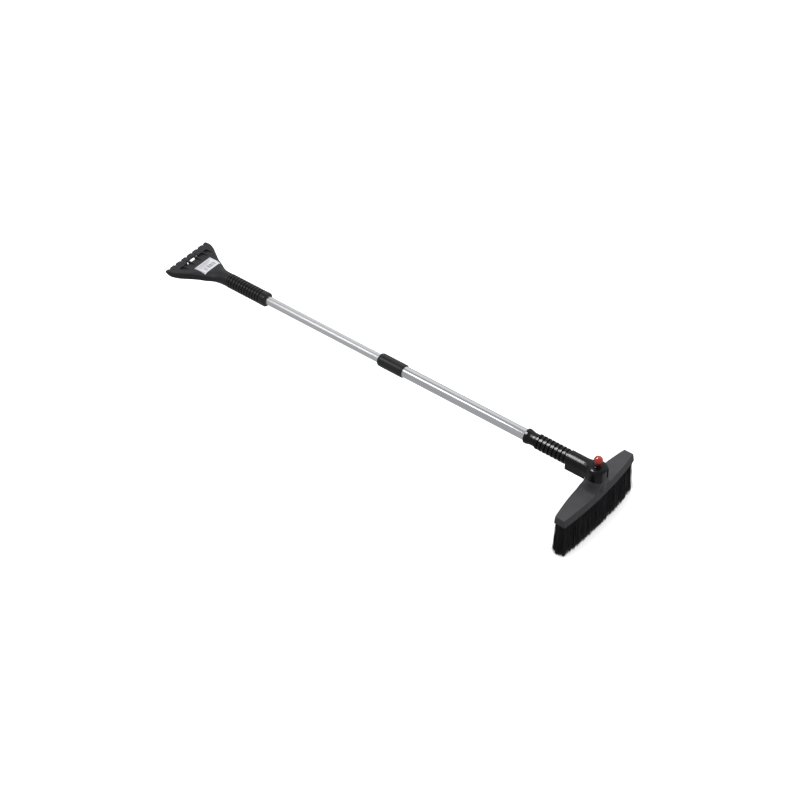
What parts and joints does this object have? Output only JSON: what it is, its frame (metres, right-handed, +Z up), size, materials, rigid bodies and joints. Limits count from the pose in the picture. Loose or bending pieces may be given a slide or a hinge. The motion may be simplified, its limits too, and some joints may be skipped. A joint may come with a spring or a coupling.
{
  "type": "telescopic snow brush with ice scraper",
  "caption": "Telescoping tube handle with a toothed ice scraper at one end and a swivelling snow brush released by a red ball button at the other.",
  "frame": {"origin": "where the swivel axis of the brush head meets the plane of the bristle tips", "axes": "+X along the handle from the scraper to the brush, +Y along the brush head, +Z up from the bristle tips to the release button"},
  "size_m": [1.0025, 0.219, 0.1602],
  "materials": {
    "scraper_plastic": "moulded, fine grain, matt",
    "label_print": "printed paper label, satin",
    "steel": "zinc plated",
    "grip_rubber": "matt ribbed rubber",
    "inner_aluminium": "satin drawn tube",
    "outer_aluminium": "bright drawn tube",
    "lock_plastic": "moulded",
    "nylon": "natural nylon",
    "sleeve_plastic": "satin black",
    "housing_plastic": "glossy black",
    "button_red": "glossy red",
    "cover_plastic": "moulded, fine grain, matt",
    "block_plastic": "moulded",
    "bristle": "stiff black filaments"
  },
  "bodies": {
    "handle": {"mouth_sleeve": "sleeve_plastic", "outer_tube": "outer_aluminium", "tube_plug": "lock_plastic", "plug_screw": "steel", "grip_housing": "housing_plastic", "pivot_bush": "housing_plastic", "thrust_washer": "nylon", "retaining_ring": "steel", "button_spring": "steel"},
    "lock_sleeve": {"lock_sleeve": "nylon"},
    "extension": {"scraper_head": "scraper_plastic", "scraper_label": "label_print", "scraper_pin": "steel", "hand_grip": "grip_rubber", "inner_tube": "inner_aluminium", "lock_plug": "lock_plastic", "expander_cone": "lock_plastic"},
    "brush_head": {"brush_cover": "cover_plastic", "bristle_block": "block_plastic", "block_screws": "steel", "bristle_row_1": "bristle", "bristle_row_2": "bristle", "bristle_row_3": "bristle", "bristle_row_4": "bristle"},
    "release_button": {"release_button": "button_red", "button_stem": "steel", "clutch_cone": "lock_plastic", "stem_nut": "steel"}
  },
  "joints": [
    {"name": "telescope_slide", "type": "slide", "parent": "handle", "child": "lock_sleeve", "axis": [1, 0, 0], "range_m": [0, 0.274]},
    {"name": "twist_lock", "type": "hinge", "parent": "lock_sleeve", "child": "extension", "pos_m": [-0.378, 0, 0.122], "axis": [1, 0, 0], "range_deg": [0, 90]},
    {"name": "head_swivel", "type": "hinge", "parent": "handle", "child": "brush_head", "pos_m": [0, 0, 0.122], "axis": [0, 0, 1], "range_deg": [-90, 90]},
    {"name": "button_press", "type": "slide", "parent": "handle", "child": "release_button", "axis": [0, 0, -1], "range_m": [0, 0.003], "stiffness_N_per_m": 600, "springref_m": -0.004, "deforming": ["button_spring"]}
  ]
}
